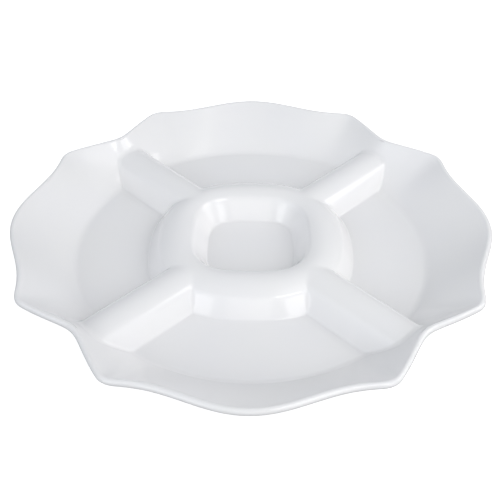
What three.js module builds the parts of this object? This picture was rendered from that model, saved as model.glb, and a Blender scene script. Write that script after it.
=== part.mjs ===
// A chip and dip tray, moulded in one piece: a shallow dish with a scalloped rim, a raised ring around a
// rounded square dip well, and four ribs from the ring to the rim that part the dish into four chip
// compartments. The wall is one thickness all over, so the ring and the ribs are hollow from beneath.
//
// Millimetres, +Z up. The origin is under the middle of the tray, on the plane that its foot stands on.
// The lobes of the rim point along +X, +Y, -X and -Y, and the ribs run along the diagonals between them.
//
// The tray is one closed skin. Rows of points run around it, from the middle of the underside out to the
// rim, around the rim bead and back in over the top. Heights are worked out above the compartment floor.

import * as THREE from 'three';

const DEGREE = Math.PI / 180;

// The shell
const WALL = 3.2;                  // thickness of the moulding
const FOOT_HEIGHT = 2.6;           // how far the foot stands below the underside of the floor
const FLOOR_TOP = WALL + FOOT_HEIGHT;
const FLOOR_RADIUS = 148.9;        // circle where the floor turns up into the outer wall
const RIM_HEIGHT = 28.9;           // middle of the rim bead above the floor
const BEAD_RADIUS = 2.7;           // the rounded edge of the rim

// Outline of the rim: radii from the middle, and angles from the nearest lobe
const LOBE_RADIUS = 200;
const VALLEY_RADIUS = 192.2;       // shallow dip between a lobe and a corner
const VALLEY_ANGLE = 18.5;
const CORNER_RISE = 0.0844;        // mm per square degree, from the valley out to the corner
const NOTCH_RADIUS = 180.7;        // the rim draws in where a rib ends
const NOTCH_ANGLE = 45;
const NOTCH_FLARE = 1.72;          // mm per degree, from the notch out to the corner
const NOTCH_ROUND = 4;             // degrees over which the notch is rounded
const CORNER_ROUND = 8;            // how much the pointed corner is rounded

// The ring around the dip well, in section
const WELL_FLOOR = 37.2;           // where the well's wall stands on its floor, at the middle of a side
const WELL_WALL_SLOPE = Math.tan(57 * DEGREE);
const RING_FOOT = 87.4;            // where the ring's outer wall stands on the compartment floor
const RING_WALL_SLOPE = Math.tan(55.5 * DEGREE);
const CREST_RADIUS = 60;
const CREST_HEIGHT = 20.5;
const CROWN_OUTSIDE = 25;          // radius of the ring's rounded top, outside and inside its crest
const CROWN_INSIDE = 26;
const WELL_SQUARENESS = 3.6;       // power of the rounded square that the well's floor is
const RING_SQUARENESS = 2.4;       // and of the nearly round outside of the ring
const SQUARE_TO = 38;              // up to this level the rounded square keeps the well's power
const ROUND_FROM = 75;             // and from this one on it has the ring's
const ROUNDING_PACE = 0.6;         // how the power falls between them, as a power of the way along

// The ribs, in section
const RIB_HALF = 24.3;             // half of the width on the floor
const RIB_WALL_SLOPE = Math.tan(59.5 * DEGREE);
const RIB_CROWN = 26;

// Rounding where surfaces meet, as the height over which one blends into the other
const RING_SHOULDER_BLEND = 1.2;
const WELL_LIP_BLEND = 2.5;
const RIB_SHOULDER_BLEND = 3;
const RIB_ROOT_BLEND = 1.5;        // where a rib grows out of the ring
const RIB_ROOT_SPAN = 15;          // mm from the crest over which that blend comes in
const FLOOR_EDGE_BLEND = 2.2;
const FEATURE_FOOT_BLEND = 1.5;    // where the ring and the ribs stand on the floor
const RIB_END_BLEND = 3.5;         // where a rib runs into the outer wall
const RIB_END_START = 4;           // mm short of the floor's edge, where the one turns into the other
const RIB_END_LENGTH = 8;

// The foot is four arcs, one beneath each compartment
const FOOT_INNER = 135.5;
const FOOT_OUTER = 139.5;
const FOOT_DRAFT = 1;              // its sides lean out by this much

// Where the lines of the mesh run: across a rib, then as shares of the fan from rib to lobe
const ACROSS_RIB = [0, 6.5, 12, 15.2, 19.7, RIB_HALF];
const FAN_SHARES = [0.1, 0.232, 0.34, 0.5, 0.66, 0.83, 1];
const FAN_START = 72;              // nearer the middle than this, all the lines run straight in
const QUARTERS = 4;
const SETTLE_PASSES = 4;           // a line's direction and radius depend on each other

// Where rows of points run over the ring, closer together at its edges
const TOP_WELL = [36.2, 37.9, 41, 44.5, 48.2, 49.8, 52.6, 56];
const TOP_RING = [CREST_RADIUS, 65, 70, 74.5, 76.6, 78.2, 82, 86.4, 88.4];
const UNDER_WELL = [38.3, 40.3, 44.5, 49.5, 55];
const UNDER_RING = [CREST_RADIUS, 67, 73, 76, 81, 84.8, 87];
const PAST_RING = 1;               // the floor's rows start this far past the ring's foot
const BEAD_TURNS = [-110, -72, -36, 0, 45, 90, 180];

function smoothMax(a, b, blend) {
  const overlap = Math.max(0, 1 - Math.abs(a - b) / Math.max(blend, 1e-6));
  return Math.max(a, b) + overlap * overlap * blend / 4;
}

function smoothMin(a, b, blend) {
  return -smoothMax(-a, -b, blend);
}

// Radius of the rim's outer edge, in a direction given in radians
function rimRadius(angle) {
  const turned = angle / DEGREE + NOTCH_ANGLE;
  const fromLobe = Math.abs(turned - 90 * Math.floor(turned / 90) - NOTCH_ANGLE);
  const swell = (LOBE_RADIUS - VALLEY_RADIUS) / 2;
  if (fromLobe < VALLEY_ANGLE) {
    return VALLEY_RADIUS + swell * (1 + Math.cos(Math.PI * fromLobe / VALLEY_ANGLE));
  }
  const rising = VALLEY_RADIUS + CORNER_RISE * (fromLobe - VALLEY_ANGLE) ** 2;
  const flare = Math.hypot(NOTCH_ANGLE - fromLobe, NOTCH_ROUND) - NOTCH_ROUND;
  return smoothMin(rising, NOTCH_RADIUS + NOTCH_FLARE * flare, CORNER_ROUND);
}

// The outer wall is straight in section. It leaves the floor circle and touches the bead's top.
function wallSlope(angle) {
  const run = rimRadius(angle) - BEAD_RADIUS - FLOOR_RADIUS;
  const reach = Math.sqrt(run ** 2 + RIM_HEIGHT ** 2 - BEAD_RADIUS ** 2);
  return (run * RIM_HEIGHT + BEAD_RADIUS * reach) / (run ** 2 - BEAD_RADIUS ** 2);
}

// The ring's levels are rounded squares, squarer at the well than at its outer foot
function squareness(level) {
  const share = THREE.MathUtils.clamp((level - SQUARE_TO) / (ROUND_FROM - SQUARE_TO), 0, 1);
  return WELL_SQUARENESS + (RING_SQUARENESS - WELL_SQUARENESS) * share ** ROUNDING_PACE;
}

function levelRadius(level, angle) {
  const power = squareness(level);
  const sum = Math.abs(Math.cos(angle)) ** power + Math.abs(Math.sin(angle)) ** power;
  return level * sum ** (-1 / power);
}

// Heights above the compartment floor. drop is 0 for the top face and the wall's thickness beneath:
// each plane and crown is moved by it along its own normal.
function ringHeight(level, drop) {
  const outer = (RING_FOOT - level) * RING_WALL_SLOPE - drop * Math.hypot(1, RING_WALL_SLOPE);
  const inner = (level - WELL_FLOOR) * WELL_WALL_SLOPE - drop * Math.hypot(1, WELL_WALL_SLOPE);
  const bend = level > CREST_RADIUS ? CROWN_OUTSIDE : CROWN_INSIDE;
  const crown = CREST_HEIGHT - (level - CREST_RADIUS) ** 2 / (2 * bend) - drop;
  return smoothMin(smoothMin(crown, outer, RING_SHOULDER_BLEND), inner, WELL_LIP_BLEND);
}

function ribHeight(across, drop) {
  const side = (RIB_HALF - across) * RIB_WALL_SLOPE - drop * Math.hypot(1, RIB_WALL_SLOPE);
  const crown = CREST_HEIGHT - across ** 2 / (2 * RIB_CROWN) - drop;
  return smoothMin(crown, side, RIB_SHOULDER_BLEND);
}

function wallHeight(radius, angle, drop) {
  const slope = wallSlope(angle);
  return (radius - FLOOR_RADIUS) * slope - drop * Math.hypot(1, slope);
}

function height(spot, drop) {
  const base = smoothMax(-drop, wallHeight(spot.radius, spot.angle, drop), FLOOR_EDGE_BLEND);
  let feature = ringHeight(spot.level, drop);
  if (spot.level > CREST_RADIUS) {
    const blend = RIB_ROOT_BLEND * Math.min(1, (spot.level - CREST_RADIUS) / RIB_ROOT_SPAN);
    feature = smoothMax(feature, ribHeight(spot.across, drop), blend);
  }
  const onWall = THREE.MathUtils.clamp((spot.radius - FLOOR_RADIUS + RIB_END_START) / RIB_END_LENGTH, 0, 1);
  const foot = FEATURE_FOOT_BLEND + (RIB_END_BLEND - FEATURE_FOOT_BLEND) * onWall;
  return smoothMax(base, feature, foot);
}

// Every line of the mesh, in order around the tray: which rib it belongs to, which side of that rib's
// axis it runs on, and how far across the rib or around the fan it is
function meshLines() {
  const half = ACROSS_RIB.map((across) => ({ across, share: 0 }));
  half.push(...FAN_SHARES.map((share) => ({ across: RIB_HALF, share })));
  const lines = [];
  for (let quarter = 0; quarter < QUARTERS; quarter++) {
    const axis = (NOTCH_ANGLE + 90 * quarter) * DEGREE;
    const before = half.slice(1, -1).reverse();
    lines.push(...before.map((line) => ({ ...line, axis, side: -1 })));
    lines.push(...half.map((line) => ({ ...line, axis, side: 1 })));
  }
  return lines;
}

function lineAngle(line, radius) {
  const reach = Math.max(radius, FAN_START);
  const beside = Math.asin(line.across / reach);
  return line.axis + line.side * (beside + (Math.PI / 4 - beside) * line.share);
}

// A spot on a line: its direction, its distances from the middle and from the rib's axis
function spotAt(line, radius, level) {
  const angle = lineAngle(line, radius);
  const across = Math.abs(radius * Math.sin(angle - line.axis));
  return { radius, angle, across, level };
}

function levelSpot(line, level) {
  let radius = level;
  for (let pass = 0; pass < SETTLE_PASSES; pass++) {
    radius = levelRadius(level, lineAngle(line, radius));
  }
  return spotAt(line, radius, level);
}

// Where the outer wall starts: on the floor circle, or higher up where a rib runs into the wall
function wallFoot(line, drop) {
  let radius = FLOOR_RADIUS;
  for (let pass = 0; pass < SETTLE_PASSES; pass++) {
    const slope = wallSlope(lineAngle(line, radius));
    const rib = line.share > 0 ? -drop : Math.max(-drop, ribHeight(line.across, drop));
    radius = FLOOR_RADIUS + (rib + drop * Math.hypot(1, slope)) / slope;
  }
  return radius;
}

function pointOf(spot, above) {
  const x = spot.radius * Math.cos(spot.angle);
  const y = spot.radius * Math.sin(spot.angle);
  return [x, y, FLOOR_TOP + above];
}

// Rows of points, each one a function from a line to a point
function levelRow(level, drop) {
  return (line) => {
    const spot = levelSpot(line, level);
    return pointOf(spot, height(spot, drop));
  };
}

function floorRow(share, drop) {
  return (line) => {
    const start = levelSpot(line, RING_FOOT + PAST_RING).radius;
    const radius = start + (wallFoot(line, drop) - start) * share;
    const spot = spotAt(line, radius, radius);
    return pointOf(spot, height(spot, drop));
  };
}

function footRow(radius, drop, depth) {
  return (line) => {
    const spot = spotAt(line, radius, radius);
    const onFoot = line.share > 0;
    return pointOf(spot, onFoot ? -drop - depth : height(spot, drop));
  };
}

function wallRow(beyondFoot, shortOfBead, share, drop) {
  return (line) => {
    const start = wallFoot(line, drop) + beyondFoot;
    const end = rimRadius(lineAngle(line, LOBE_RADIUS)) - BEAD_RADIUS - shortOfBead;
    const radius = start + (end - start) * share;
    const spot = spotAt(line, radius, radius);
    return pointOf(spot, height(spot, drop));
  };
}

function beadRow(turn) {
  return (line) => {
    const angle = lineAngle(line, LOBE_RADIUS);
    const tangent = 90 + Math.atan(wallSlope(angle)) / DEGREE;
    const around = Math.min(turn, tangent) * DEGREE;
    const radius = rimRadius(angle) - BEAD_RADIUS + BEAD_RADIUS * Math.cos(around);
    return pointOf({ radius, angle }, RIM_HEIGHT + BEAD_RADIUS * Math.sin(around));
  };
}

function undersideRows() {
  return [
    ...[...UNDER_WELL, ...UNDER_RING].map((level) => levelRow(level, WALL)),
    footRow(FOOT_INNER - FOOT_DRAFT, WALL, 0),
    footRow(FOOT_INNER, WALL, FOOT_HEIGHT),
    footRow(FOOT_OUTER, WALL, FOOT_HEIGHT),
    footRow(FOOT_OUTER + FOOT_DRAFT, WALL, 0),
    wallRow(-3, 4, 0, WALL),
    wallRow(0, 4, 0.04, WALL),
    wallRow(2, 4, 0.3, WALL),
    wallRow(0, 4, 1, WALL),
  ];
}

function rimRows() {
  return BEAD_TURNS.map((turn) => beadRow(turn));
}

function topRows() {
  return [
    ...[...TOP_WELL, ...TOP_RING].map((level) => levelRow(level, 0)),
    floorRow(0.45, 0),
    floorRow(0.94, 0),
    wallRow(0, 3, 0, 0),
    wallRow(3.5, 3, 0, 0),
    wallRow(3.5, 3, 0.55, 0),
  ];
}

function trayGeometry() {
  const lines = meshLines();
  const rows = [...undersideRows(), ...rimRows(), ...topRows().reverse()];
  const points = [[0, 0, FLOOR_TOP - WALL]];
  for (const row of rows) {
    points.push(...lines.map((line) => row(line)));
  }
  points.push([0, 0, FLOOR_TOP]);

  const around = lines.length;
  const last = points.length - 1;
  const triangles = [];
  for (let i = 0; i < around; i++) {
    const next = (i + 1) % around;
    triangles.push(0, 1 + next, 1 + i);
    for (let row = 0; row < rows.length - 1; row++) {
      const here = 1 + row * around;
      const beyond = here + around;
      triangles.push(here + i, here + next, beyond + next);
      triangles.push(here + i, beyond + next, beyond + i);
    }
    const inmost = 1 + (rows.length - 1) * around;
    triangles.push(last, inmost + i, inmost + next);
  }

  const geometry = new THREE.BufferGeometry();
  geometry.setAttribute('position', new THREE.Float32BufferAttribute(points.flat(), 3));
  geometry.setIndex(triangles);
  geometry.computeVertexNormals();
  return geometry;
}

const melamine = new THREE.MeshStandardMaterial({ color: 0xf1f3f4, roughness: 0.2, metalness: 0 });

const tray = new THREE.Mesh(trayGeometry(), melamine);
tray.name = 'serving_tray';

const server = new THREE.Group();
server.add(tray);

export default server;
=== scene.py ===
# %% [markdown]
# # A one-piece chip and dip tray
# The tray is moulded in one shot from white melamine: a dish with a scalloped rim, a raised ring around
# a dip well, and four ribs that part the dish into compartments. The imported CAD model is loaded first.
# It fixes where the tray stands and how big it is. Its surface is faceted, so a fine surface of the same
# shape is worked out below and takes its place.

import bpy
import numpy as np
from mathutils import Matrix, Vector


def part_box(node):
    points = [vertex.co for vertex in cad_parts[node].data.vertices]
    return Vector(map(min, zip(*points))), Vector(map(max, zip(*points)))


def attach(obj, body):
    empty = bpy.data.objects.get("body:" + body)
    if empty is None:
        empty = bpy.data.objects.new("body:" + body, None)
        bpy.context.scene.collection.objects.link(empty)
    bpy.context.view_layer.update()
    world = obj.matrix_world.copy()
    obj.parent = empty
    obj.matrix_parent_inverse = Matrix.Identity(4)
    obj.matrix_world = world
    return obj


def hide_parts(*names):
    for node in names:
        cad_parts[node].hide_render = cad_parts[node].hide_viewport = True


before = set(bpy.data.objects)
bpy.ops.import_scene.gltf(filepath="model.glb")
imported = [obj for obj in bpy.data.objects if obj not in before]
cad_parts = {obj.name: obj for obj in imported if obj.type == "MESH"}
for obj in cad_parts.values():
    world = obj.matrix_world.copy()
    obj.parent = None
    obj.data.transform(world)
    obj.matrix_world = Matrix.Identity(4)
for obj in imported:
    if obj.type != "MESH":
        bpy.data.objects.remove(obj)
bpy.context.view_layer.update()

# %% [markdown]
# ## Sizes
# The tray is drawn from a few sizes in millimetres, the same ones as the CAD part. The overall radius
# and height are read from the frame, so that the fine surface can't drift away from it.

# %% Sizes in millimetres
MM = 0.001
DEGREE = np.pi / 180

WALL = 3.2  # thickness of the moulding
FOOT_HEIGHT = 2.6  # how far the foot stands below the underside of the floor
FLOOR_TOP = WALL + FOOT_HEIGHT
FLOOR_RADIUS = 148.9  # circle where the floor turns up into the outer wall
BEAD_RADIUS = 2.7  # the rounded edge of the rim
tray_low, tray_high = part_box("serving_tray")
LOBE_RADIUS = (tray_high.x - tray_low.x) / 2 / MM
RIM_HEIGHT = (tray_high.z - tray_low.z) / MM - BEAD_RADIUS - FLOOR_TOP
print("lobe radius", round(LOBE_RADIUS, 2), "mm, rim", round(RIM_HEIGHT, 2), "mm above the floor")

# %% [markdown]
# ## Rounding
# Where two surfaces of a moulding meet, the mould has a radius. A smooth maximum does the same to two
# heights: it is the higher one, plus a rounded amount where they differ by less than the blend.


# %% Smooth maximum and minimum
TINY = 1e-6  # keeps a blend of nothing from dividing by nothing


def smooth_max(a, b, blend):
    """The larger of a and b, plus blend / 4 times the square of one minus their difference over blend."""
    overlap = np.clip(1 - np.abs(a - b) / np.maximum(blend, TINY), 0, 1)
    return np.maximum(a, b) + overlap**2 * blend / 4


def smooth_min(a, b, blend):
    """The smaller of a and b, rounded in the same way."""
    return -smooth_max(-a, -b, blend)


# %% [markdown]
# ## Outline of the rim
# The rim could be drawn as a spline through measured points. A formula is easier to read and to change:
# each lobe is a cosine swell, and each pointed corner is where the parabola that rises from the valley
# beside a lobe meets the flare that falls to the notch at a rib.

# %% The rim
QUARTERS = 4
QUARTER_TURN = 360 / QUARTERS
VALLEY_RADIUS = 192.2  # shallow dip between a lobe and a corner
VALLEY_ANGLE = 18.5
CORNER_RISE = 0.0844  # mm per square degree, from the valley out to the corner
NOTCH_RADIUS = 180.7  # the rim draws in where a rib ends
NOTCH_ANGLE = 45
NOTCH_FLARE = 1.72  # mm per degree, from the notch out to the corner
NOTCH_ROUND = 4  # degrees over which the notch is rounded
CORNER_ROUND = 8  # how much the pointed corner is rounded


def rim_radius(angle):
    """Outer radius of the rim: a cosine from lobe to valley, then the rounded meeting of a parabola and a
    hyperbola, in degrees from the nearest lobe."""
    turned = angle / DEGREE + NOTCH_ANGLE
    from_lobe = np.abs(turned - QUARTER_TURN * np.floor(turned / QUARTER_TURN) - NOTCH_ANGLE)
    swell = (LOBE_RADIUS - VALLEY_RADIUS) / 2
    lobe = VALLEY_RADIUS + swell * (1 + np.cos(np.pi * from_lobe / VALLEY_ANGLE))
    rising = VALLEY_RADIUS + CORNER_RISE * (from_lobe - VALLEY_ANGLE) ** 2
    flare = np.hypot(NOTCH_ANGLE - from_lobe, NOTCH_ROUND) - NOTCH_ROUND
    corner = smooth_min(rising, NOTCH_RADIUS + NOTCH_FLARE * flare, CORNER_ROUND)
    return np.where(from_lobe < VALLEY_ANGLE, lobe, corner)


def wall_slope(angle):
    """Slope of the straight line from the floor circle that touches the top of the rim bead."""
    run = rim_radius(angle) - BEAD_RADIUS - FLOOR_RADIUS
    reach = np.sqrt(run**2 + RIM_HEIGHT**2 - BEAD_RADIUS**2)
    return (run * RIM_HEIGHT + BEAD_RADIUS * reach) / (run**2 - BEAD_RADIUS**2)


# %% [markdown]
# ## Ring, ribs and wall as heights
# Every part of the tray that shows from above can be seen as a height over the floor. The ring and the
# ribs are each a rounded crown between two sloping sides. The underside is the same shape moved by the
# wall's thickness along its own normal, which is the drop below.

# %% Sections
WELL_FLOOR = 37.2  # where the well's wall stands on its floor, at the middle of a side
WELL_WALL_SLOPE = np.tan(57 * DEGREE)
RING_FOOT = 87.4  # where the ring's outer wall stands on the compartment floor
RING_WALL_SLOPE = np.tan(55.5 * DEGREE)
CREST_RADIUS = 60
CREST_HEIGHT = 20.5
CROWN_OUTSIDE = 25  # radius of the ring's rounded top, outside and inside its crest
CROWN_INSIDE = 26
WELL_SQUARENESS = 3.6  # power of the rounded square that the well's floor is
RING_SQUARENESS = 2.4  # and of the nearly round outside of the ring
SQUARE_TO = 38  # up to this level the rounded square keeps the well's power
ROUND_FROM = 75  # and from this one on it has the ring's
ROUNDING_PACE = 0.6  # how the power falls between them, as a power of the way along
RIB_HALF = 24.3  # half of the width on the floor
RIB_WALL_SLOPE = np.tan(59.5 * DEGREE)
RIB_CROWN = 26
RING_SHOULDER_BLEND = 1.2
WELL_LIP_BLEND = 2.5
RIB_SHOULDER_BLEND = 3
RIB_ROOT_BLEND = 1.5  # where a rib grows out of the ring
RIB_ROOT_SPAN = 15  # mm from the crest over which that blend comes in
FLOOR_EDGE_BLEND = 2.2
FEATURE_FOOT_BLEND = 1.5  # where the ring and the ribs stand on the floor
RIB_END_BLEND = 3.5  # where a rib runs into the outer wall
RIB_END_START = 4  # mm short of the floor's edge, where the one turns into the other
RIB_END_LENGTH = 8
FAR_BELOW = -99  # stands for a rib where there is none


def level_radius(level, angle):
    """Radius of a rounded square: level over the p-norm of the direction. p falls from the square-cornered
    well to the nearly round foot of the ring."""
    share = np.clip((level - SQUARE_TO) / (ROUND_FROM - SQUARE_TO), 0, 1)
    power = WELL_SQUARENESS + (RING_SQUARENESS - WELL_SQUARENESS) * share**ROUNDING_PACE
    return level * (np.abs(np.cos(angle)) ** power + np.abs(np.sin(angle)) ** power) ** (-1 / power)


def ring_height(level, drop):
    """The lowest of a parabolic crown, the line of the outer wall and the line of the well's wall."""
    outer = (RING_FOOT - level) * RING_WALL_SLOPE - drop * np.hypot(1, RING_WALL_SLOPE)
    inner = (level - WELL_FLOOR) * WELL_WALL_SLOPE - drop * np.hypot(1, WELL_WALL_SLOPE)
    bend = np.where(level > CREST_RADIUS, CROWN_OUTSIDE, CROWN_INSIDE)
    crown = CREST_HEIGHT - (level - CREST_RADIUS) ** 2 / (2 * bend) - drop
    return smooth_min(smooth_min(crown, outer, RING_SHOULDER_BLEND), inner, WELL_LIP_BLEND)


def rib_height(across, drop):
    """The lower of a parabolic crown and the line of the rib's side, by distance from the rib's axis."""
    side = (RIB_HALF - across) * RIB_WALL_SLOPE - drop * np.hypot(1, RIB_WALL_SLOPE)
    crown = CREST_HEIGHT - across**2 / (2 * RIB_CROWN) - drop
    return smooth_min(crown, side, RIB_SHOULDER_BLEND)


def wall_height(radius, angle, drop):
    """The sloping wall, straight in section, as far below itself as drop asks."""
    slope = wall_slope(angle)
    return (radius - FLOOR_RADIUS) * slope - drop * np.hypot(1, slope)


def surface_height(radius, angle, across, level, drop):
    """Floor and wall, then ring and ribs on them, each pair joined by a smooth maximum."""
    base = smooth_max(-drop, wall_height(radius, angle, drop), FLOOR_EDGE_BLEND)
    blend = RIB_ROOT_BLEND * np.clip((level - CREST_RADIUS) / RIB_ROOT_SPAN, 0, 1)
    rib = np.where(level > CREST_RADIUS, rib_height(across, drop), FAR_BELOW)
    feature = smooth_max(ring_height(level, drop), rib, blend)
    on_wall = np.clip((radius - FLOOR_RADIUS + RIB_END_START) / RIB_END_LENGTH, 0, 1)
    foot = FEATURE_FOOT_BLEND + (RIB_END_BLEND - FEATURE_FOOT_BLEND) * on_wall
    return smooth_max(base, feature, foot)


# %% [markdown]
# ## The lines of the mesh
# A plain polar grid would cut across the ribs' edges and leave them ragged. Here the lines that run out
# from the middle stay parallel to a rib's axis while they are on the rib, and fan out between ribs, so an
# edge of the mesh lies along every edge of the moulding. All lines are one array.

# %% Lines from the middle to the rim
FAN_START = 72  # nearer the middle than this, all the lines run straight in
# Distances from the rib's axis, closest together at its shoulder
rib_steps = [0, 2.5, 5, 7.5, 9.5, 11.5, 13, 14, 14.6, 15, 15.4, 15.8, 16.2, 17, 19.5, 22, 23.6, RIB_HALF]
# Shares of the fan from a rib's side to the lobe, closest together at the rib and at the rim's corner
near_rib = [0.012, 0.03, 0.06, 0.095, 0.13, 0.16]
near_corner = [0.185, 0.205, 0.22, 0.235, 0.25, 0.27, 0.295, 0.325, 0.36]
to_lobe = np.linspace(0.4, 1, 16)
fan_shares = np.concatenate([near_rib, near_corner, to_lobe])


def one_side():
    """Across-rib distance and fan share of each line, from a rib's axis to the next lobe."""
    across = np.concatenate([rib_steps, np.full(len(fan_shares), RIB_HALF)])
    share = np.concatenate([np.zeros(len(rib_steps)), fan_shares])
    return across, share


across, share = one_side()
line_across = np.tile(np.concatenate([across[-2:0:-1], across]), QUARTERS)
line_share = np.tile(np.concatenate([share[-2:0:-1], share]), QUARTERS)
line_side = np.tile(np.repeat([-1, 1], [len(across) - 2, len(across)]), QUARTERS)
rib_axis = (NOTCH_ANGLE + QUARTER_TURN * np.arange(QUARTERS)) * DEGREE
line_axis = np.repeat(rib_axis, len(line_side) // QUARTERS)
print(len(line_axis), "lines run out from the middle")


def line_angle(radius):
    """Direction of every line at a radius: the arcsine of its distance across the rib, plus its share of
    what is left up to the lobe."""
    beside = np.arcsin(line_across / np.maximum(radius, FAN_START))
    return line_axis + line_side * (beside + (np.pi / 4 - beside) * line_share)


SETTLE_PASSES = 5


def level_line_radius(levels):
    """Radius of every line on each level of the ring: a direction gives a radius, which gives the next
    direction, until both settle."""
    radius = levels[:, None] + np.zeros(len(line_axis))
    for _ in range(SETTLE_PASSES):
        radius = level_radius(levels[:, None], line_angle(radius))
    return radius


def wall_foot(drop):
    """Where each line meets the outer wall: at the floor circle, or higher up on a rib."""
    radius = np.full(len(line_axis), FLOOR_RADIUS)
    rib = np.where(line_share > 0, -drop, np.maximum(-drop, rib_height(line_across, drop)))
    for _ in range(SETTLE_PASSES):
        slope = wall_slope(line_angle(radius))
        radius = FLOOR_RADIUS + (rib + drop * np.hypot(1, slope)) / slope
    return radius


# %% [markdown]
# ## Rows of points
# A row is one closed loop of points around the tray, with one point on each line. Rows are close together
# where the surface bends and further apart where it is flat. Each function below gives a block of rows at
# once, as an array of rows by lines by three.


# %% Blocks of rows
def surface_rows(radius, level, drop):
    """Points of some rows, in millimetres: each on its line, at the height of the moulding's skin."""
    angle = line_angle(radius)
    beside = np.abs(radius * np.sin(angle - line_axis))
    above = surface_height(radius, angle, beside, level, drop)
    return np.stack([radius * np.cos(angle), radius * np.sin(angle), FLOOR_TOP + above], axis=-1)


def level_rows(levels, drop):
    """Rows on levels of the ring, from the well's floor to the ring's foot."""
    levels = np.asarray(levels, dtype=float)
    return surface_rows(level_line_radius(levels), levels[:, None], drop)


PAST_RING = 1.5  # the floor's rows start this far past the ring's foot


def floor_rows(shares, drop):
    """Rows from just outside the ring's foot to the foot of the wall."""
    start = level_line_radius(np.array([RING_FOOT + PAST_RING]))
    radius = start + (wall_foot(drop) - start) * shares[:, None]
    return surface_rows(radius, radius, drop)


def wall_rows(distances, shares, short, drop):
    """Rows at set distances past the wall's foot, then at shares of the way up to short of the bead."""
    near = wall_foot(drop) + distances[:, None]
    end = rim_radius(line_angle(LOBE_RADIUS)) - BEAD_RADIUS - short
    far = near[-1] + (end - near[-1]) * shares[:, None]
    radius = np.concatenate([near, far])
    return surface_rows(radius, radius, drop)


FOOT_RADIUS = 137.5
FOOT_HALF_WIDTH = 2
FOOT_DRAFT = 0.6  # its sides lean out by this much
FOOT_FLATNESS = 1.6  # half a circle times this, cut off at 1, leaves a flat to stand on
FOOT_END = 0.08  # share of the fan over which it fades towards a rib


def foot_rows(turns, drop):
    """Rows across the foot: an arc under each compartment. Its section is half a flattened circle, and its
    depth falls to nothing towards the ribs along a quarter of one."""
    turns = turns[:, None]
    radius = FOOT_RADIUS + FOOT_HALF_WIDTH * np.sin(turns) + np.sign(turns) * FOOT_DRAFT
    radius = radius + np.zeros(len(line_axis))
    rows = surface_rows(radius, radius, drop)
    section = np.sqrt(np.clip(FOOT_FLATNESS * np.cos(turns), 0, 1))
    along = np.clip(line_share / FOOT_END, 0, 1)
    rows[..., 2] -= FOOT_HEIGHT * section * np.sqrt(along * (2 - along))
    return rows


BEAD_START = -110  # degrees from level, where the bead leaves the underside of the wall


def bead_rows(count):
    """The rim's rounded edge: a circle's arc from beneath, round the outside, to where the wall's line
    touches it."""
    angle = line_angle(LOBE_RADIUS)
    last = 90 + np.arctan(wall_slope(angle)) / DEGREE
    around = (BEAD_START + (last - BEAD_START) * np.linspace(0, 1, count)[:, None]) * DEGREE
    radius = rim_radius(angle) - BEAD_RADIUS + BEAD_RADIUS * np.cos(around)
    z = FLOOR_TOP + RIM_HEIGHT + BEAD_RADIUS * np.sin(around)
    return np.stack([radius * np.cos(angle), radius * np.sin(angle), z], axis=-1)


# %% [markdown]
# ## The moulding
# The rows run from the middle of the underside out to the rim, around the bead and back in over the top.
# With a point at the middle of each face the skin is closed.

# %% Build the tray
# Rows over the ring, as its levels: closest together at the well's foot and lip and at the shoulder
top_levels = np.concatenate([
    [12, 24, 32], np.arange(35, 40, 0.5), np.arange(40.5, 46, 1), np.arange(46.9, 51.4, 0.4),
    np.arange(52, 75, 1.25), np.arange(75.2, 79.2, 0.25), np.arange(80, 85.5, 1), np.arange(85.6, 88.8, 0.4),
])
under_levels = np.concatenate([
    [12, 24, 34], np.arange(36, 41, 0.7), np.arange(42, 56, 2.0), np.arange(56, 73, 2.5),
    np.arange(73, 79, 1.0), np.arange(80, 84, 2.0), np.arange(84, 88, 0.8),
])
# Rows over the floor, as shares of the way from ring to wall
top_floor = np.linspace(0.04, 0.90, 16)
under_floor = np.linspace(0.08, 0.62, 4)
foot_turns = np.linspace(-90, 90, 9) * DEGREE
# Rows at the wall's foot, in mm from it, and then as shares of the way up
top_wall_foot = np.linspace(-5, 6, 23)
top_wall = np.linspace(0.06, 1, 15)
under_wall_foot = np.linspace(-4, 5, 9)
under_wall = np.linspace(0.15, 1, 7)
TOP_SHORT_OF_BEAD = 2
UNDER_SHORT_OF_BEAD = 4
BEAD_ROWS = 17


def tray_rows():
    """Every row of the skin, from the middle of the underside to the middle of the top."""
    under = [
        level_rows(under_levels, WALL),
        floor_rows(under_floor, WALL),
        foot_rows(foot_turns, WALL),
        wall_rows(under_wall_foot, under_wall, UNDER_SHORT_OF_BEAD, WALL),
    ]
    top = [
        level_rows(top_levels, 0),
        floor_rows(top_floor, 0),
        wall_rows(top_wall_foot, top_wall, TOP_SHORT_OF_BEAD, 0),
    ]
    return np.concatenate([*under, bead_rows(BEAD_ROWS), np.concatenate(top)[::-1]])


def skin(rows):
    """Vertices and faces of a closed skin: quads between rows and a fan of triangles at each middle."""
    count, around, _ = rows.shape
    points = np.concatenate([[[0, 0, FLOOR_TOP - WALL]], rows.reshape(-1, 3), [[0, 0, FLOOR_TOP]]]) * MM
    i = np.arange(around)
    j = (i + 1) % around
    start = 1 + around * np.arange(count - 1)[:, None]
    quads = np.stack([start + i, start + j, start + around + j, start + around + i], axis=-1)
    inmost = start[-1] + around
    under = np.stack([np.zeros_like(i), 1 + j, 1 + i], axis=-1)
    over = np.stack([np.full_like(i, len(points) - 1), inmost + i, inmost + j], axis=-1)
    return points, [*under.tolist(), *quads.reshape(-1, 4).tolist(), *over.tolist()]


def new_object(name, points, faces):
    """A smooth mesh object in the scene."""
    mesh = bpy.data.meshes.new(name)
    mesh.from_pydata(np.asarray(points).tolist(), [], faces)
    mesh.shade_smooth()
    mesh.update()
    made = bpy.data.objects.new(name, mesh)
    bpy.context.scene.collection.objects.link(made)
    return made


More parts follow.
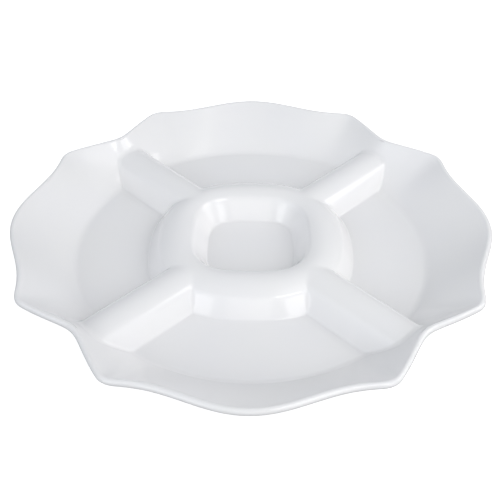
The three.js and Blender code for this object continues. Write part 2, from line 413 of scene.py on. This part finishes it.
rows = tray_rows()
points, faces = skin(rows)
tray = new_object("moulded_tray", points, faces)
triangles = sum(len(face) - 2 for face in faces)
print(len(rows), "rows,", len(points), "points,", triangles, "triangles")

# %% [markdown]
# ## White melamine
# Melamine is a hard thermoset, pressed from powder in a polished steel mould. It is white right through.
# Its skin is glossy and takes crisp reflections of the studio's windows, but it is not optically flat: it
# shrinks a little as it cures, so those reflections waver, and handling leaves faint dull patches. One flat
# colour would look like paint. So the white drifts slightly in tint, the gloss varies, and two bump
# patterns bend the reflections: long shrinkage waves and a fine skin texture.


# %% Colours and nodes
def linear(hex_colour):
    """Linear RGBA of an sRGB hex colour."""
    channels = np.array([int(hex_colour[i : i + 2], 16) for i in (1, 3, 5)]) / 255
    low = channels / 12.92
    high = ((channels + 0.055) / 1.055) ** 2.4
    return (*np.where(channels <= 0.04045, low, high), 1.0)


def add_node(tree, kind, settings=None, links=None):
    """A new node with its settings, and links given as input: output socket. A setting is a property by
    name, or an input by name or number."""
    node = tree.nodes.new(kind)
    for name, value in (settings or {}).items():
        if isinstance(name, str) and hasattr(node, name):
            setattr(node, name, value)
        else:
            node.inputs[name].default_value = value
    for name, socket in (links or {}).items():
        tree.links.new(socket, node.inputs[name])
    return node


# %% Pressed white melamine
MELAMINE_IOR = 1.55
WHITE_COOL = "#F0EFF0"
WHITE_WARM = "#F1F0F0"
TINT_PATCH = 55
SMUDGE_PATCH = 18
CLEAN_ROUGHNESS = 0.05
HANDLED_ROUGHNESS = 0.1
SHRINK_WAVE = 26
SHRINK_HEIGHT = 0.012
SKIN_GRAIN = 0.9
SKIN_HEIGHT = 0.0006
NOISE_ROUGHNESS = 0.55


def per_metre(millimetres):
    """A noise texture's scale for patches of a size: how many fit in a metre."""
    return 1 / (millimetres * MM)


def melamine_material():
    """White moulded plastic: near-white tint from one noise, gloss from a second, bump from two more."""
    material = bpy.data.materials.new("pressed white melamine")
    material.use_nodes = True
    tree = material.node_tree
    where = add_node(tree, "ShaderNodeTexCoord").outputs["Object"]

    def noise(size, detail):
        settings = {"Scale": per_metre(size), "Detail": detail, "Roughness": NOISE_ROUGHNESS}
        return add_node(tree, "ShaderNodeTexNoise", settings, {"Vector": where}).outputs["Fac"]

    tint = add_node(tree, "ShaderNodeValToRGB", links={"Fac": noise(TINT_PATCH, 3)})
    tint.color_ramp.elements[0].position, tint.color_ramp.elements[1].position = 0.35, 0.65
    tint.color_ramp.elements[0].color = linear(WHITE_COOL)
    tint.color_ramp.elements[1].color = linear(WHITE_WARM)

    gloss = {"From Min": 0.35, "From Max": 0.7, "To Min": CLEAN_ROUGHNESS, "To Max": HANDLED_ROUGHNESS}
    gloss = add_node(tree, "ShaderNodeMapRange", gloss, {"Value": noise(SMUDGE_PATCH, 4)})

    waves = {"Strength": 1, "Distance": SHRINK_HEIGHT * MM}
    waves = add_node(tree, "ShaderNodeBump", waves, {"Height": noise(SHRINK_WAVE, 1)})
    grain = {"Strength": 1, "Distance": SKIN_HEIGHT * MM}
    grain_links = {"Height": noise(SKIN_GRAIN, 2), "Normal": waves.outputs["Normal"]}
    grain = add_node(tree, "ShaderNodeBump", grain, grain_links)

    shader = tree.nodes["Principled BSDF"]
    shader.inputs["IOR"].default_value = MELAMINE_IOR
    tree.links.new(tint.outputs["Color"], shader.inputs["Base Color"])
    tree.links.new(gloss.outputs["Result"], shader.inputs["Roughness"])
    tree.links.new(grain.outputs["Normal"], shader.inputs["Normal"])
    return material


melamine = melamine_material()
tray.data.materials.append(melamine)
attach(tray, "root")
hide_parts("serving_tray")
print("waves", SHRINK_WAVE, "mm long and", SHRINK_HEIGHT, "mm high; skin grain", SKIN_GRAIN, "mm")

# %% [markdown]
# ## Floor
# Small white goods are often set on a light table: a sheet of acrylic, lit from beneath, that hides their
# shadow. A large grey plane whose glow only the eye sees does the same here. The tray itself sees the grey,
# so the rim keeps a thin dark outline that stands out from the white.

# %% Floor
FLOOR_HALF = 20
FLOOR_GREY = "#ADADAD"
FLOOR_ROUGHNESS = 0.6
FLOOR_GLOW = 0.9


def light_table():
    """A square sheet under the tray: a plain surface, plus a glow on the rays from the eye."""
    edge = FLOOR_HALF
    corners = [[-edge, -edge, 0], [edge, -edge, 0], [edge, edge, 0], [-edge, edge, 0]]
    floor = new_object("light_table", corners, [[0, 1, 2, 3]])
    material = bpy.data.materials.new("acrylic light table")
    material.use_nodes = True
    tree = material.node_tree
    seen = add_node(tree, "ShaderNodeLightPath").outputs["Is Camera Ray"]
    glow = {"operation": "MULTIPLY", 1: FLOOR_GLOW}
    glow = add_node(tree, "ShaderNodeMath", glow, {0: seen})
    shader = tree.nodes["Principled BSDF"]
    shader.inputs["Base Color"].default_value = linear(FLOOR_GREY)
    shader.inputs["Roughness"].default_value = FLOOR_ROUGHNESS
    shader.inputs["Emission Color"].default_value = linear("#FFFFFF")
    tree.links.new(glow.outputs[0], shader.inputs["Emission Strength"])
    floor.data.materials.append(material)


light_table()

# %% [markdown]
# ## Studio light
# A glossy white piece is lit by what surrounds it, more than by lamps. The room is a white tent, brightest
# at the front left, then at the front right, and a little bluer than the panels that stand in it. Each
# panel is given by its bearing from the front (right is positive), its elevation, its apparent width and
# height as seen from the tray, all in degrees, and its brightness, where 1 is a white sheet in full light.
# The two windows make the crisp patches on the ring, the high one the bright lines along its shoulder.


# %% Panels
def bearing(azimuth, elevation):
    """Unit vector towards a bearing: sine and cosine of the azimuth, raised by the elevation."""
    around, up = azimuth * DEGREE, elevation * DEGREE
    return Vector((np.sin(around) * np.cos(up), -np.cos(around) * np.cos(up), np.sin(up)))


PANEL_DISTANCE = 1.6
PANEL_COLOUR = "#FFFDFA"


def panel(name, azimuth, elevation, wide, high, brightness):
    """An area light that faces the tray. Its power is pi times its area times its brightness."""
    data = bpy.data.lights.new(name, "AREA")
    data.shape = "RECTANGLE"
    data.size = 2 * PANEL_DISTANCE * np.tan(wide / 2 * DEGREE)
    data.size_y = 2 * PANEL_DISTANCE * np.tan(high / 2 * DEGREE)
    data.energy = np.pi * data.size * data.size_y * brightness
    data.color = linear(PANEL_COLOUR)[:3]
    lamp = bpy.data.objects.new(name, data)
    towards = bearing(azimuth, elevation)
    lamp.location = towards * PANEL_DISTANCE
    lamp.rotation_euler = towards.to_track_quat("Z", "Y").to_euler()
    bpy.context.scene.collection.objects.link(lamp)


PANELS = (
    # name, azimuth, elevation, width, height, brightness
    ("window_right", 38, 19, 22, 20, 1.8),
    ("window_left", -40, 19, 22, 20, 1.7),
    ("high_window", 38, 50, 24, 12, 4.8),
    ("side_panel", 90, 25, 30, 30, 1.8),
    ("high_side_panel", 90, 45, 20, 20, 2.45),
    ("front_panel", 0, 30, 24, 20, 0.85),
    ("top_panel", 62, 62, 20, 20, 0.8),
)
for settings in PANELS:
    panel(*settings)
print(len(PANELS), "panels stand", PANEL_DISTANCE, "m from the tray")


# %% White tent
TENT_COLOUR = "#F4F9FF"
TENT_BASE = 0.02
TENT_LOBES = (
    # azimuth, elevation, power, strength
    (-50, 30, 6, 1.65),
    (48, 30, 12, 0.95),
    (90, 30, 6, 0.24),
    (90, 20, 1, 0.30),
    (180, 10, 1, 0.30),
    (-135, 20, 1, 0.265),
)


def white_tent():
    """A world whose brightness is a constant, plus a soft lobe towards each of some bearings: the cosine of
    the angle from the bearing, where it is above nothing, to a power, times a strength."""
    world = bpy.data.worlds.new("white tent")
    world.use_nodes = True
    tree = world.node_tree
    towards = add_node(tree, "ShaderNodeTexCoord").outputs["Generated"]
    total = add_node(tree, "ShaderNodeValue")
    total.outputs[0].default_value = TENT_BASE
    total = total.outputs[0]
    for azimuth, elevation, power, strength in TENT_LOBES:
        cosine = {"operation": "DOT_PRODUCT", 1: bearing(azimuth, elevation)}
        cosine = add_node(tree, "ShaderNodeVectorMath", cosine, {0: towards}).outputs["Value"]
        clipped = add_node(tree, "ShaderNodeMath", {"operation": "MAXIMUM", 1: 0}, {0: cosine})
        lobe = add_node(tree, "ShaderNodeMath", {"operation": "POWER", 1: power}, {0: clipped.outputs[0]})
        scaled = {"operation": "MULTIPLY_ADD", 1: strength}
        scaled = add_node(tree, "ShaderNodeMath", scaled, {0: lobe.outputs[0], 2: total})
        total = scaled.outputs[0]
    background = tree.nodes["Background"]
    background.inputs["Color"].default_value = linear(TENT_COLOUR)
    tree.links.new(total, background.inputs["Strength"])
    bpy.context.scene.world = world


white_tent()
bpy.context.scene.view_settings.view_transform = "Standard"

# %% [markdown]
# ## Camera
# The camera looks down at the tray by 40 degrees from two thirds of a metre away, with a lens a little
# longer than normal, so the near side looks larger than the far side.

# %% Camera
CAMERA_PLACE = (0.00253, -0.50774, 0.434)
SENSOR_WIDTH = 36
LENS = 55.47312
PITCH = 40.271 * DEGREE
HEADING = -0.352 * DEGREE
ROLL = -0.311 * DEGREE

camera_data = bpy.data.cameras.new("camera")
camera_data.sensor_width = SENSOR_WIDTH
camera_data.lens = LENS
camera = bpy.data.objects.new("camera", camera_data)
camera.location = CAMERA_PLACE
heading = Matrix.Rotation(-HEADING, 3, "Z")
pitch = Matrix.Rotation(np.pi / 2 - PITCH, 3, "X")
roll = Matrix.Rotation(-ROLL, 3, "Z")
camera.rotation_euler = (heading @ pitch @ roll).to_euler()
bpy.context.scene.collection.objects.link(camera)
bpy.context.scene.camera = camera
print("camera", round(Vector(CAMERA_PLACE).length, 2), "m from the tray")
